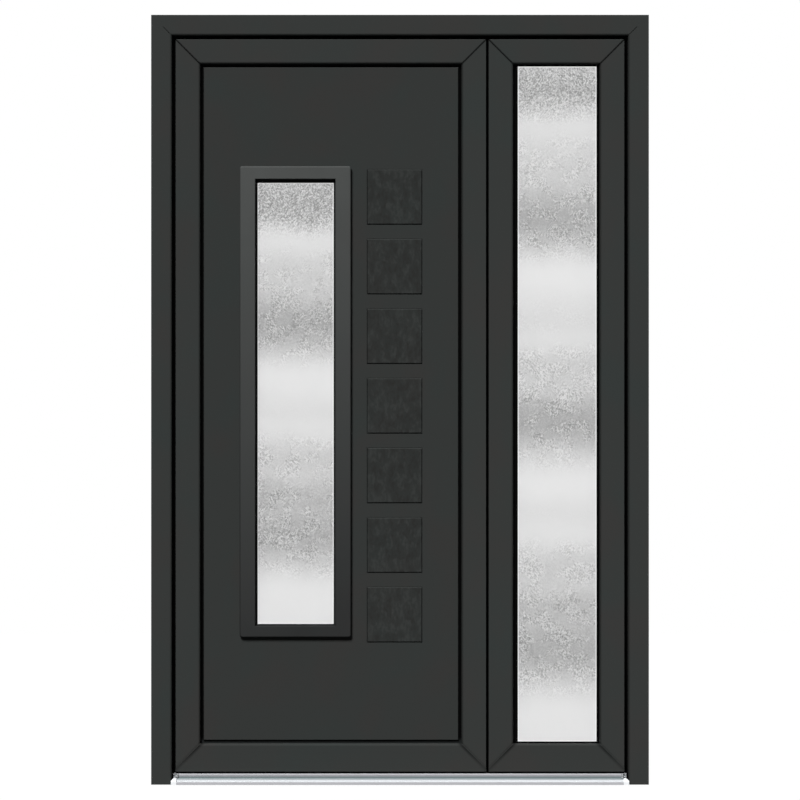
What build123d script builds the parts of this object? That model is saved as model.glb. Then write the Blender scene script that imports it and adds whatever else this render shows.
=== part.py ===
from build123d import *
import math
import os

# Entrance door: a panelled main leaf and a narrower glazed second leaf in one rebated frame.
# Millimetres. +X is to the right as seen from outside, +Y goes into the building, +Z is up.
# The origin is in the middle of the threshold's underside, halfway through the frame's depth.
# Depths are counted from the frame's outer face, towards the inside.

# Whole door
overall_width = 1390.0
overall_height = 2150.0
frame_depth = 72.0

# Outer frame
frame_face = 58.0
frame_upstand = 18.0
frame_rebate = 12.0
frame_edge_radius = 7.0
frame_seam_width = 2.0
frame_seam_depth = 1.6
frame_seam_length = 36.0
fixing_hole_diameter = 10.0
fixing_count = 4
fixing_bottom_margin = 150.0
fixing_top_margin = 200.0
head_fixing_margin = 245.0

# Leaves: the profile that both share
sash_setback = 5.0
sash_face = 69.0
sash_lip = 15.0
sash_edge_radius = 7.0
face_edge_radius = 1.5
seam_width = 2.4
seam_depth = 2.8
hardware_groove_width = 18.0
hardware_groove_depth = 4.0
hardware_groove_back = 15.0
shadow_gap = 10.0
edge_clearance = 6.0
seal_clearance = 5.0
seal_thickness = 2.0
seal_side_clearance = 1.0
bottom_rail_face = 79.0
bottom_clearance = 5.0
glazing_rebate = 20.0
infill_edge_clearance = 6.0
infill_thickness = 28.0
gasket_thickness = 3.0
gasket_cover = 10.0
bead_flat = 9.0
bead_slope = 9.0

# Leaves: widths and meeting edges
main_sight_width = 730.0
leaf_gap = 6.4
main_meeting_bevel = 9.0
second_meeting_bevel = 3.0

# Main leaf's panel
panel_groove = 9.0
panel_field_height = 9.0
panel_edge_bevel = 1.5
glazing_bite = 8.0
glass_edge_clearance = 4.0

# Glazing moulding on both sides of the panel
moulding_left_offset = 101.0
moulding_bottom_offset = 288.0
moulding_width = 311.0
moulding_height = 1316.0
moulding_side_face = 43.5
moulding_top_face = 36.0
moulding_bottom_face = 32.0
moulding_height_outside = 13.0
moulding_height_inside = 12.0
moulding_corner_radius = 7.0
moulding_outer_radius = 4.0
moulding_inner_radius = 2.0
pane_gasket_side = 5.0
pane_gasket_top = 9.0
pane_gasket_bottom = 4.5

# Column of square tiles
tile_count = 7
tile_size = 153.5
tile_pitch = 194.6
tile_thickness = 3.0
tile_edge_bevel = 2.2
tile_groove_width = 1.0
tile_groove_depth = 1.2
tile_left_offset = 457.0
tile_bottom_offset = 274.0

# Second leaf
pane_gasket_reach = 9.0

# Hinges on the inside
hinge_heights = (260.0, 1110.0, 1880.0)
hinge_half_height = 52.0
hinge_running_gap = 0.3
hinge_barrel_radius = 8.0
hinge_barrel_lift = 3.0
hinge_plate_thickness = 5.0
hinge_plate_start = 6.0
hinge_plate_end = 40.0
hinge_fairing = 26.0
hinge_pin_radius = 5.0
hinge_pin_length = 40.0
hinge_pin_clearance = 0.05
hinge_end_bevel = 1.0

# Threshold
threshold_height = 30.5
threshold_back_height = 14.0
threshold_ramp = 12.0
threshold_nose_reach = 12.0
threshold_nose_height = 9.0
threshold_front_inset = 2.0
threshold_cove_top = 27.0
threshold_cove_lean = 24.0
threshold_edge_bevel = 1.5
threshold_end_gap = 4.5
threshold_cap_length = 15.0
threshold_cap_height = 18.0
threshold_cap_lap = 2.5
threshold_cap_cut = 7.0

# Depths that the sections share
lip_back = sash_setback + sash_lip
infill_front = lip_back + gasket_thickness
infill_back = infill_front + infill_thickness
field_front = infill_front - panel_field_height
notch_floor = frame_upstand + seal_clearance + seal_thickness
hinge_axis_depth = frame_depth + hinge_barrel_lift + hinge_barrel_radius

# Places across the width and up the height
frame_sight_x = overall_width / 2 - frame_face
frame_sight_top = overall_height - frame_face
rebate_wall_x = frame_sight_x + frame_rebate
leaf_edge_x = rebate_wall_x - edge_clearance
leaf_top = frame_sight_top + frame_rebate - edge_clearance
leaf_bottom = threshold_height + bottom_clearance
hinge_axis_x = leaf_edge_x + edge_clearance / 2
sight_top = frame_sight_top - shadow_gap - sash_face
sight_bottom = leaf_bottom + bottom_rail_face
outer_sight_x = frame_sight_x - shadow_gap - sash_face
main_sight_right = main_sight_width - outer_sight_x
main_meeting_x = main_sight_right + sash_face
second_meeting_x = main_meeting_x + leaf_gap
second_sight_left = second_meeting_x + sash_face

main_sight = (-outer_sight_x, main_sight_right, sight_bottom, sight_top)
second_sight = (second_sight_left, outer_sight_x, sight_bottom, sight_top)
reach = 2 * frame_depth + overall_width / 4


def at_depth(depth):
    """Y of a depth counted from the frame's outer face."""
    return depth - frame_depth / 2


def polygon(points, rounded=()):
    """Face inside straight edges; rounded lists the corners to round, each with its radius."""
    face = make_face(Polyline(*points, close=True))
    for corner, radius in rounded:
        face = fillet(face.vertices().sort_by_distance((*corner, 0))[0], radius)
    return face


def upright(section, sight_x, outward, bottom, top):
    """Section drawn as (distance outward from the sight line, depth), run up the Z axis."""
    place = Plane(origin=(sight_x, at_depth(0), bottom), x_dir=(outward, 0, 0), z_dir=(0, 0, outward))
    return extrude(place * section, amount=top - bottom, dir=(0, 0, 1))


def crossbar(section, sight_z, outward, left, right):
    """The same kind of section, run along the X axis."""
    place = Plane(origin=(left, at_depth(0), sight_z), x_dir=(0, 0, outward), z_dir=(-outward, 0, 0))
    return extrude(place * section, amount=right - left, dir=(1, 0, 0))


def plate(left, right, bottom, top, front, back):
    """Rectangular slab between two depths."""
    centre = ((left + right) / 2, at_depth((front + back) / 2), (bottom + top) / 2)
    return Pos(*centre) * Box(right - left, back - front, top - bottom)


def flat_shape(points, front, back):
    """Outline of (x, z) points as a slab between two depths."""
    face = Pos(0, at_depth(front), 0) * (Plane.XZ * polygon(points))
    return extrude(face, amount=back - front, dir=(0, 1, 0))


def grown(rectangle, amount):
    left, right, bottom, top = rectangle
    return (left - amount, right + amount, bottom - amount, top + amount)


def ring(outer, inner, front, back):
    """Flat rectangular ring between two depths."""
    return plate(*outer, front, back) - plate(*inner, front, back)


def mitre_regions(sight):
    """The four wedges that meet on 45 degree lines out of a sight rectangle's corners."""
    left, right, bottom, top = sight
    far_left, far_right, far_bottom, far_top = grown(sight, reach)
    corners = {
        "left": [(left, bottom), (left, top), (far_left, far_top), (far_left, far_bottom)],
        "right": [(right, bottom), (right, top), (far_right, far_top), (far_right, far_bottom)],
        "top": [(left, top), (right, top), (far_right, far_top), (far_left, far_top)],
        "bottom": [(left, bottom), (right, bottom), (far_right, far_bottom), (far_left, far_bottom)],
    }
    return {side: flat_shape(points, -reach, reach) for side, points in corners.items()}


def seam_grooves(corner, direction, outer_depth, width, depth, length):
    """V grooves where a mitre's weld is cleaned off, on the outer and the inner face."""
    (x, z), (right, up) = corner, direction
    grooves = []
    for face_depth, into in ((outer_depth, 1), (frame_depth, -1)):
        place = Plane(origin=(x, at_depth(face_depth), z), x_dir=(up, 0, -right), z_dir=(right, 0, up))
        triangle = polygon([(-width, -into * depth), (width, -into * depth), (0, into * depth)])
        grooves.append(extrude(place * triangle, amount=length))
    return grooves


# Outer frame


def frame_section():
    outline = [
        (0, 0),
        (frame_face, 0),
        (frame_face, frame_depth),
        (frame_rebate, frame_depth),
        (frame_rebate, frame_upstand),
        (0, frame_upstand),
    ]
    return polygon(outline, [((0, 0), frame_edge_radius), ((frame_face, 0), face_edge_radius)])


def fixing_hole(place, along):
    depth_middle = at_depth((frame_upstand + frame_depth) / 2)
    drill = Cylinder(fixing_hole_diameter / 2, 2 * frame_face)
    turn = Rotation(0, 90, 0) if along == "x" else Rotation(0, 0, 0)
    x, z = place
    return Pos(x, depth_middle, z) * turn * drill


def make_frame():
    sight = (-frame_sight_x, frame_sight_x, 0, frame_sight_top)
    regions = mitre_regions(sight)
    section = frame_section()
    head = crossbar(section, frame_sight_top, 1, -overall_width / 2, overall_width / 2)
    head &= regions["top"]
    fixing_pitch = (overall_height - fixing_bottom_margin - fixing_top_margin) / (fixing_count - 1)
    pieces = {}
    for side, across in (("left", -1), ("right", 1)):
        jamb = upright(section, across * frame_sight_x, across, 0, overall_height) & regions[side]
        corner = (across * frame_sight_x, frame_sight_top)
        seam = (frame_seam_width, frame_seam_depth, frame_seam_length)
        for groove in seam_grooves(corner, (across, 1), 0, *seam):
            jamb -= groove
            head -= groove
        fixing_x = across * (overall_width - frame_face) / 2
        for index in range(fixing_count):
            jamb -= fixing_hole((fixing_x, fixing_bottom_margin + index * fixing_pitch), "x")
        head_fixing_x = across * (overall_width / 2 - head_fixing_margin)
        head -= fixing_hole((head_fixing_x, overall_height - frame_face / 2), "z")
        pieces["frame_" + side + "_jamb"] = jamb
    return {**pieces, "frame_head": head}


# Threshold


def threshold_face():
    nose_front = -threshold_nose_reach
    cove_start = (threshold_front_inset, threshold_cove_top)
    cove_end = (nose_front + threshold_edge_bevel, threshold_nose_height)
    lean = math.radians(threshold_cove_lean)
    cove = TangentArc(cove_start, cove_end, tangent=(math.sin(lean), -math.cos(lean)))
    outline = Polyline(
        cove_end,
        (nose_front, threshold_nose_height - threshold_edge_bevel),
        (nose_front, 0),
        (frame_depth, 0),
        (frame_depth, threshold_back_height),
        (frame_depth - threshold_ramp, threshold_height),
        (threshold_front_inset + threshold_edge_bevel, threshold_height),
        (threshold_front_inset, threshold_height - threshold_edge_bevel),
        cove_start,
    )
    return make_face([cove, outline])


def make_threshold():
    """Rail under both leaves, and a cap with a cut corner over each end of its nose."""
    profile = Plane.YZ * (Pos(-frame_depth / 2, 0) * threshold_face())
    rail = extrude(profile, amount=rebate_wall_x, dir=(1, 0, 0), both=True)
    cap_end = frame_sight_x + threshold_cap_lap
    cap_start = cap_end - threshold_cap_length
    rail_end = frame_sight_x - threshold_end_gap
    cap_section = polygon(
        [
            (at_depth(0), 0),
            (at_depth(0), threshold_cap_height),
            (at_depth(-threshold_nose_reach), threshold_nose_height),
            (at_depth(-threshold_nose_reach), 0),
        ],
        [((at_depth(-threshold_nose_reach), threshold_nose_height), threshold_edge_bevel)],
    )
    pieces = {}
    for name, side in (("threshold_left_cap", -1), ("threshold_right_cap", 1)):
        cap = extrude(Plane.YZ * cap_section, amount=cap_end, dir=(side, 0, 0))
        cap -= plate(-cap_start, cap_start, -reach, reach, -reach, reach)
        corner = [
            (side * cap_end, threshold_cap_height),
            (side * (cap_end - threshold_cap_cut), threshold_cap_height),
            (side * cap_end, threshold_cap_height - threshold_cap_cut),
        ]
        pieces[name] = cap - flat_shape(corner, -reach, reach)
    for side in (-1, 1):
        beyond_cap = sorted((side * cap_start, side * reach * 2))
        beyond_rail = sorted((side * rail_end, side * reach * 2))
        rail -= plate(*beyond_cap, -reach, reach, -reach, 0)
        rail -= plate(*beyond_rail, -reach, reach, -reach, frame_upstand)
    return {"threshold": rail, **pieces}


# Leaves


def sash_section(face, meeting_bevel=0.0, overlapped=False, hardware=True):
    """Sash profile: outer lip, glazing rebate, hardware groove, and an overlap behind the upstand."""
    edge = face + shadow_gap + frame_rebate - edge_clearance if overlapped else face
    groove_back = frame_depth - hardware_groove_back
    groove_front = groove_back - hardware_groove_width

    def edge_at(depth):
        return edge - meeting_bevel * (depth - sash_setback) / (frame_depth - sash_setback)

    outline = [(0, sash_setback), (face, sash_setback)]
    if overlapped:
        outline += [(face, notch_floor), (edge, notch_floor)]
    if hardware:
        outline += [
            (edge_at(groove_front), groove_front),
            (edge_at(groove_front) - hardware_groove_depth, groove_front),
            (edge_at(groove_back) - hardware_groove_depth, groove_back),
            (edge_at(groove_back), groove_back),
        ]
    outline += [
        (edge_at(frame_depth), frame_depth),
        (glazing_rebate, frame_depth),
        (glazing_rebate, lip_back),
        (0, lip_back),
    ]
    rounded = [((0, sash_setback), sash_edge_radius), ((face, sash_setback), face_edge_radius)]
    return polygon(outline, rounded)


def meeting_cut(edge_x, outward, bevel):
    """Everything past a leaf's slanting meeting edge."""
    slope = bevel / (frame_depth - sash_setback)
    front, back = -frame_depth, 2 * frame_depth
    front_x, back_x = (edge_x - outward * slope * (depth - sash_setback) for depth in (front, back))
    far_x = edge_x + outward * reach
    points = [
        (front_x, at_depth(front)),
        (far_x, at_depth(front)),
        (far_x, at_depth(back)),
        (back_x, at_depth(back)),
    ]
    return extrude(polygon(points), amount=2 * overall_height, dir=(0, 0, 1), both=True)


def make_sash(prefix, sight, hinge_side, meeting_x, meeting_bevel):
    """Four mitred members; hinge_side is -1 where the hinges are on the left."""
    left, right, bottom, top = sight
    regions = mitre_regions(sight)
    hinge_name, meeting_name = ("left", "right") if hinge_side < 0 else ("right", "left")
    hinge_sight, meeting_sight = (left, right) if hinge_side < 0 else (right, left)
    overlapped = sash_section(sash_face, overlapped=True)
    meeting = sash_section(sash_face, meeting_bevel=meeting_bevel)
    plain = sash_section(bottom_rail_face, hardware=False)
    ends = sorted((hinge_side * leaf_edge_x, meeting_x - hinge_side * frame_face))
    past_edge = meeting_cut(meeting_x, -hinge_side, meeting_bevel)
    notch = sorted((hinge_side * (frame_sight_x - shadow_gap), hinge_side * overall_width))
    past_face = plate(*notch, -reach, reach, -reach, notch_floor)
    hinge_stile = upright(overlapped, hinge_sight, hinge_side, leaf_bottom, leaf_top)
    meeting_stile = upright(meeting, meeting_sight, -hinge_side, leaf_bottom, leaf_top)
    top_rail = crossbar(overlapped, top, 1, *ends)
    bottom_rail = crossbar(plain, bottom, -1, *ends)
    members = {
        hinge_name: hinge_stile & regions[hinge_name],
        meeting_name: meeting_stile & regions[meeting_name],
        "top": (top_rail & regions["top"]) - past_edge,
        "bottom": (bottom_rail & regions["bottom"]) - past_edge - past_face,
    }
    for side, x, across in (("left", left, -1), ("right", right, 1)):
        for rail, z, up in (("top", top, 1), ("bottom", bottom, -1)):
            for groove in seam_grooves((x, z), (across, up), sash_setback, seam_width, seam_depth, reach):
                members[side] -= groove
                members[rail] -= groove
    return {
        prefix + "_hinge_stile": members[hinge_name],
        prefix + "_meeting_stile": members[meeting_name],
        prefix + "_top_rail": members["top"],
        prefix + "_bottom_rail": members["bottom"],
    }


def make_beads(prefix, sight):
    """Glazing beads on the inside, mitred at the corners."""
    left, right, bottom, top = sight
    outline = [
        (glazing_rebate, infill_back),
        (glazing_rebate, frame_depth),
        (bead_flat, frame_depth),
        (0, frame_depth - bead_slope),
        (0, infill_back),
    ]
    section = polygon(outline)
    regions = mitre_regions(sight)
    low, high = bottom - glazing_rebate, top + glazing_rebate
    near, far = left - glazing_rebate, right + glazing_rebate
    return {
        prefix + "_left_bead": upright(section, left, -1, low, high) & regions["left"],
        prefix + "_right_bead": upright(section, right, 1, low, high) & regions["right"],
        prefix + "_top_bead": crossbar(section, top, 1, near, far) & regions["top"],
        prefix + "_bottom_bead": crossbar(section, bottom, -1, near, far) & regions["bottom"],
    }


def make_seal(hinge_side, meeting_x, meeting_bevel):
    """Rubber strip in the leaf's outer notch, up the hinge side and along the top."""
    face_edge_x = frame_sight_x - shadow_gap + seal_side_clearance
    face_edge_top = frame_sight_top - shadow_gap + seal_side_clearance
    outer_x = leaf_edge_x - seal_side_clearance
    outer_top = leaf_top - seal_side_clearance
    slope = meeting_bevel / (frame_depth - sash_setback)
    end_x = meeting_x + hinge_side * slope * (notch_floor - sash_setback)
    points = [
        (hinge_side * outer_x, leaf_bottom),
        (hinge_side * outer_x, outer_top),
        (end_x, outer_top),
        (end_x, face_edge_top),
        (hinge_side * face_edge_x, face_edge_top),
        (hinge_side * face_edge_x, leaf_bottom),
    ]
    return flat_shape(points, notch_floor - seal_thickness, notch_floor)


# Main leaf


def moulding_rectangle():
    left = main_sight[0] + panel_groove + moulding_left_offset
    bottom = main_sight[2] + panel_groove + moulding_bottom_offset
    return (left, left + moulding_width, bottom, bottom + moulding_height)


def moulding_opening():
    left, right, bottom, top = moulding_rectangle()
    return (
        left + moulding_side_face,
        right - moulding_side_face,
        bottom + moulding_bottom_face,
        top - moulding_top_face,
    )


def make_moulding(front, back, face_up):
    """Raised ring with rounded corners and face edges; face_up is -1 on the outside."""
    slab = plate(*moulding_rectangle(), front, back)
    slab = fillet(slab.edges().filter_by(Axis.Y), moulding_corner_radius)
    body = slab - plate(*moulding_opening(), front, back)
    face = body.faces().sort_by(Axis.Y)[0 if face_up < 0 else -1]
    body = fillet(face.outer_wire().edges(), moulding_outer_radius)
    face = body.faces().sort_by(Axis.Y)[0 if face_up < 0 else -1]
    return fillet(face.inner_wires()[0].edges(), moulding_inner_radius)


def make_panel():
    core = plate(*grown(main_sight, glazing_rebate - infill_edge_clearance), infill_front, infill_back)
    field = plate(*grown(main_sight, -panel_groove), field_front, infill_front)
    field = chamfer(field.faces().sort_by(Axis.Y)[0].edges(), panel_edge_bevel)
    cut_out = grown(moulding_opening(), glazing_bite)
    panel = core + field - plate(*cut_out, -reach, reach)
    for index in range(tile_count):
        outline = tile_rectangle(index)
        groove = ring(grown(outline, tile_groove_width), outline, 0, field_front + tile_groove_depth)
        panel -= groove
    return panel


def tile_rectangle(index):
    left = main_sight[0] + panel_groove + tile_left_offset
    bottom = main_sight[2] + panel_groove + tile_bottom_offset + index * tile_pitch
    return (left, left + tile_size, bottom, bottom + tile_size)


def make_tile(index):
    tile = plate(*tile_rectangle(index), field_front - tile_thickness, field_front)
    return chamfer(tile.faces().sort_by(Axis.Y)[0].edges(), tile_edge_bevel)


def make_main_leaf():
    cut_out = grown(moulding_opening(), glazing_bite)
    left, right, bottom, top = moulding_opening()
    pane_shows = (
        left + pane_gasket_side,
        right - pane_gasket_side,
        bottom + pane_gasket_bottom,
        top - pane_gasket_top,
    )
    pieces = make_sash("main", main_sight, -1, main_meeting_x, main_meeting_bevel)
    pieces["main_panel"] = make_panel()
    pieces["main_panel_gasket"] = ring(
        grown(main_sight, gasket_cover), grown(main_sight, -panel_groove), lip_back, infill_front
    )
    pieces["main_glass"] = plate(*grown(cut_out, -glass_edge_clearance), infill_front, infill_back)
    pieces["main_glass_gasket"] = ring(cut_out, pane_shows, field_front, infill_front)
    outside_face = field_front - moulding_height_outside
    inside_face = infill_back + moulding_height_inside
    pieces["glazing_moulding_outside"] = make_moulding(outside_face, field_front, -1)
    pieces["glazing_moulding_inside"] = make_moulding(infill_back, inside_face, 1)
    for index in range(tile_count):
        pieces["square_tile_" + str(index + 1)] = make_tile(index)
    pieces.update(make_beads("main", main_sight))
    pieces["main_seal"] = make_seal(-1, main_meeting_x, main_meeting_bevel)
    return pieces


# Second leaf


def make_second_leaf():
    pane = grown(second_sight, glazing_rebate - infill_edge_clearance)
    pieces = make_sash("second", second_sight, 1, second_meeting_x, second_meeting_bevel)
    pieces["second_glass"] = plate(*pane, infill_front, infill_back)
    pieces["second_glass_gasket"] = ring(
        grown(second_sight, gasket_cover), grown(second_sight, -pane_gasket_reach), lip_back, infill_front
    )
    pieces.update(make_beads("second", second_sight))
    pieces["second_seal"] = make_seal(1, second_meeting_x, second_meeting_bevel)
    return pieces


# Hinges


def hinge_body(axis_x, outward, bottom):
    """Barrel with its fairing and plate; outward points from the axis to the plate."""
    plate_back = -hinge_barrel_radius - hinge_barrel_lift
    plate_front = plate_back + hinge_plate_thickness
    outline = [
        (0, hinge_barrel_radius),
        (hinge_fairing, plate_front),
        (hinge_plate_end, plate_front),
        (hinge_plate_end, plate_back),
        (hinge_plate_start, plate_back),
        (hinge_plate_start, -hinge_barrel_radius),
        (0, -hinge_barrel_radius),
    ]
    points = [(outward * across, depth) for across, depth in outline]
    arm = extrude(polygon(points), amount=hinge_half_height, dir=(0, 0, 1))
    barrel = Pos(0, 0, hinge_half_height / 2) * Cylinder(hinge_barrel_radius, hinge_half_height)
    return Pos(axis_x, at_depth(hinge_axis_depth), bottom) * (arm + barrel)


def make_hinge_halves(axis_x, leaf_side):
    """Frame halves below with their pins, leaf halves above with blind bores."""
    frame_halves, leaf_halves = [], []
    axis_y = at_depth(hinge_axis_depth)
    for height in hinge_heights:
        pin = Cylinder(hinge_pin_radius, hinge_pin_length, align=(Align.CENTER, Align.CENTER, Align.MIN))
        pin = chamfer(pin.edges().sort_by(Axis.Z)[-1], hinge_end_bevel)
        frame_half = hinge_body(axis_x, -leaf_side, height - hinge_half_height)
        frame_halves.append(frame_half + Pos(axis_x, axis_y, height) * pin)
        bore = Cylinder(
            hinge_pin_radius + hinge_pin_clearance,
            hinge_pin_length + hinge_running_gap,
            align=(Align.CENTER, Align.CENTER, Align.MIN),
        )
        leaf_half = hinge_body(axis_x, leaf_side, height + hinge_running_gap)
        leaf_halves.append(leaf_half - Pos(axis_x, axis_y, height + hinge_running_gap) * bore)
    return Compound(children=frame_halves), Compound(children=leaf_halves)


def make_hinges():
    main_frame, main_leaf = make_hinge_halves(-hinge_axis_x, 1)
    second_frame, second_leaf = make_hinge_halves(hinge_axis_x, -1)
    return {
        "main_hinge_frame_halves": main_frame,
        "main_hinge_leaf_halves": main_leaf,
        "second_hinge_frame_halves": second_frame,
        "second_hinge_leaf_halves": second_leaf,
    }


nodes = {
    **make_frame(),
    **make_threshold(),
    **make_main_leaf(),
    **make_second_leaf(),
    **make_hinges(),
}

os.makedirs("parts", exist_ok=True)
for name, shape in nodes.items():
    export_step(shape, "parts/" + name + ".step")
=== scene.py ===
"""Looks of a two-leaf PVC entrance door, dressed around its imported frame."""

import logging
import math
from dataclasses import dataclass, field
from enum import Enum
from typing import Sequence, Union

import bmesh
import bpy
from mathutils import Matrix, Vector


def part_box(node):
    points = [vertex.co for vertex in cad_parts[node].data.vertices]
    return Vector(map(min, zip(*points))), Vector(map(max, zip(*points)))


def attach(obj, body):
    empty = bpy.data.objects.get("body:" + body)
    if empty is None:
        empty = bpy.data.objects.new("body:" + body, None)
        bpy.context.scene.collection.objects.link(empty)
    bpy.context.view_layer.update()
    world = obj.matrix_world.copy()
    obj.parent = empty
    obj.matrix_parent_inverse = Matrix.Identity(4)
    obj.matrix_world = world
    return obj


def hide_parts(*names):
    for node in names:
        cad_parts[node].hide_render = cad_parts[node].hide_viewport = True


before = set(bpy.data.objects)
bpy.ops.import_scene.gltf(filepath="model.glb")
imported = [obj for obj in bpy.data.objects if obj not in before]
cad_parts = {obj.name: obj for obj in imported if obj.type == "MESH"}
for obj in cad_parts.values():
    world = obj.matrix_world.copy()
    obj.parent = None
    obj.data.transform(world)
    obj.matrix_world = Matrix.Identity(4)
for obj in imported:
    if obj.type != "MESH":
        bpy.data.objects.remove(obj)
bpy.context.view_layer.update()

MM = 0.001
WHITE = (1.0, 1.0, 1.0, 1.0)
BLACK = (0.0, 0.0, 0.0, 1.0)

Colour = tuple[float, float, float, float]
Socket = bpy.types.NodeSocket
Value = Union[Socket, float, Sequence[float], bpy.types.ID, bool, int]
Rectangle = tuple[float, float, float, float]

log = logging.getLogger("entrance_door")


class Body(Enum):
    """The bodies that pieces ride on."""

    FRAME = "frame"
    MAIN_LEAF = "main_leaf"
    SECOND_LEAF = "second_leaf"


class Slot(Enum):
    """The record's material slots; added pieces are passed one, but nothing reads it."""

    PROFILE = "pvc_frame"
    RUBBER = "black_rubber"
    CAP = "end_cap_plastic"
    HINGE = "hinge_metal"


class Side(Enum):
    """Which side of the door something is on, as a sign along the X axis."""

    LEFT = -1
    RIGHT = 1


class Grain(Enum):
    """Which way a foil's fine lines run, as (x, y, z) repeats for each metre."""

    UPRIGHT = (900.0, 900.0, 26.0)
    ACROSS = (26.0, 900.0, 900.0)


def shade(red: int, green: int, blue: int) -> Colour:
    """Turn an 8-bit display colour into a linear colour.

    Args:
        red: Display red, 0 to 255.
        green: Display green, 0 to 255.
        blue: Display blue, 0 to 255.

    Returns:
        The linear colour with full alpha.
    """

    def linear(level: int) -> float:
        """Turn one display level into a linear one."""
        share = level / 255
        return share / 12.92 if share <= 0.04045 else ((share + 0.055) / 1.055) ** 2.4

    return (linear(red), linear(green), linear(blue), 1.0)


class NodeSheet:
    """Short calls for filling a node tree."""

    def __init__(self, tree: bpy.types.NodeTree) -> None:
        """Empty the tree and keep it."""
        self.tree = tree
        tree.nodes.clear()

    def add(self, kind: str, inputs: dict[Union[str, int], Value], **options: object) -> bpy.types.Node:
        """Add a node.

        Args:
            kind: Name of the node type.
            inputs: Values or sockets for the node's inputs, by name or number.
            options: Settings of the node itself.

        Returns:
            The new node.
        """
        node = self.tree.nodes.new(kind)
        for option, value in options.items():
            setattr(node, option, value)
        self.connect(node, inputs)
        return node

    def connect(self, node: bpy.types.Node, inputs: dict[Union[str, int], Value]) -> None:
        """Set or link a node's inputs, by name or number.

        Args:
            node: The node.
            inputs: Values or sockets for its inputs, by name or number.
        """
        for key, value in inputs.items():
            if isinstance(value, Socket):
                self.tree.links.new(value, node.inputs[key])
            else:
                node.inputs[key].default_value = value

    def math(self, operation: str, first: Value, second: Value = 0.0, clamp: bool = False) -> Socket:
        """Combine two numbers.

        Args:
            operation: Name of the operation.
            first: First number.
            second: Second number.
            clamp: Whether the result is held between 0 and 1.

        Returns:
            The result's socket.
        """
        inputs = {0: first, 1: second}
        return self.add("ShaderNodeMath", inputs, operation=operation, use_clamp=clamp).outputs[0]

    def vector(self, operation: str, first: Value, second: Value = (0.0, 0.0, 0.0)) -> Socket:
        """Combine two vectors, axis by axis."""
        return self.add("ShaderNodeVectorMath", {0: first, 1: second}, operation=operation).outputs[0]

    def stretch(self, vector: Value, factors: Value) -> Socket:
        """Multiply a vector by factors, axis by axis."""
        return self.vector("MULTIPLY", vector, factors)

    def turn(self, vector: Value, angle: float, size: Sequence[float]) -> Socket:
        """Turn a place about the Y axis and count it in sizes along the turned axes."""
        inputs = {"Vector": vector, "Rotation": (0.0, angle, 0.0), "Scale": size}
        return self.add("ShaderNodeMapping", inputs, vector_type="TEXTURE").outputs[0]

    def mix(self, factor: Value, first: Value, second: Value) -> Socket:
        """Blend two colours by a factor."""
        return self.add("ShaderNodeMix", {0: factor, 6: first, 7: second}, data_type="RGBA").outputs[2]

    def blend(self, factor: Value, first: Value, second: Value) -> Socket:
        """Blend two numbers by a factor."""
        return self.add("ShaderNodeMix", {0: factor, 2: first, 3: second}, data_type="FLOAT").outputs[0]

    def noise(self, vector: Value, scale: Value, detail: float = 2.0) -> Socket:
        """Read a soft noise between 0 and 1."""
        inputs = {"Vector": vector, "Scale": scale, "Detail": detail}
        return self.add("ShaderNodeTexNoise", inputs).outputs[0]

    def ramp(
        self,
        value: Value,
        low: Value,
        high: Value,
        bottom: Value = 0.0,
        top: Value = 1.0,
        way: str = "SMOOTHSTEP",
    ) -> Socket:
        """Map a range to another and hold it at its ends.

        Args:
            value: Number to map.
            low: Start of the range read.
            high: End of the range read.
            bottom: Result at the start.
            top: Result at the end.
            way: Name of the way from one to the other.

        Returns:
            The mapped number's socket.
        """
        inputs = {"Value": value, "From Min": low, "From Max": high, "To Min": bottom, "To Max": top}
        return self.add("ShaderNodeMapRange", inputs, interpolation_type=way).outputs[0]


class Effect:
    """A shader node group that several finishes share."""

    FLOAT = "NodeSocketFloat"
    VECTOR = "NodeSocketVector"
    COLOUR = "NodeSocketColor"

    def __init__(self, name: str, inputs: dict[str, str], outputs: dict[str, str]) -> None:
        """Make an empty group.

        Args:
            name: The group's name.
            inputs: Socket types of its inputs, by name.
            outputs: Socket types of its outputs, by name.
        """
        self.tree = bpy.data.node_groups.new(name, "ShaderNodeTree")
        for label, kind in inputs.items():
            self.tree.interface.new_socket(label, in_out="INPUT", socket_type=kind)
        for label, kind in outputs.items():
            self.tree.interface.new_socket(label, in_out="OUTPUT", socket_type=kind)
        self.sheet = NodeSheet(self.tree)
        self.given = self.sheet.add("NodeGroupInput", {}).outputs

    def close(self, results: dict[str, Socket]) -> "Effect":
        """Connect the group's results to its outputs."""
        self.sheet.add("NodeGroupOutput", results)
        return self

    def place(self, sheet: NodeSheet, inputs: dict[str, Value]) -> bpy.types.NodeOutputs:
        """Place the group in a material.

        Args:
            sheet: The material's node sheet.
            inputs: Values or sockets for the group's inputs.

        Returns:
            The outputs of the group in that material.
        """
        node = sheet.add("ShaderNodeGroup", {}, node_tree=self.tree)
        sheet.connect(node, inputs)
        return node.outputs


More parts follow.
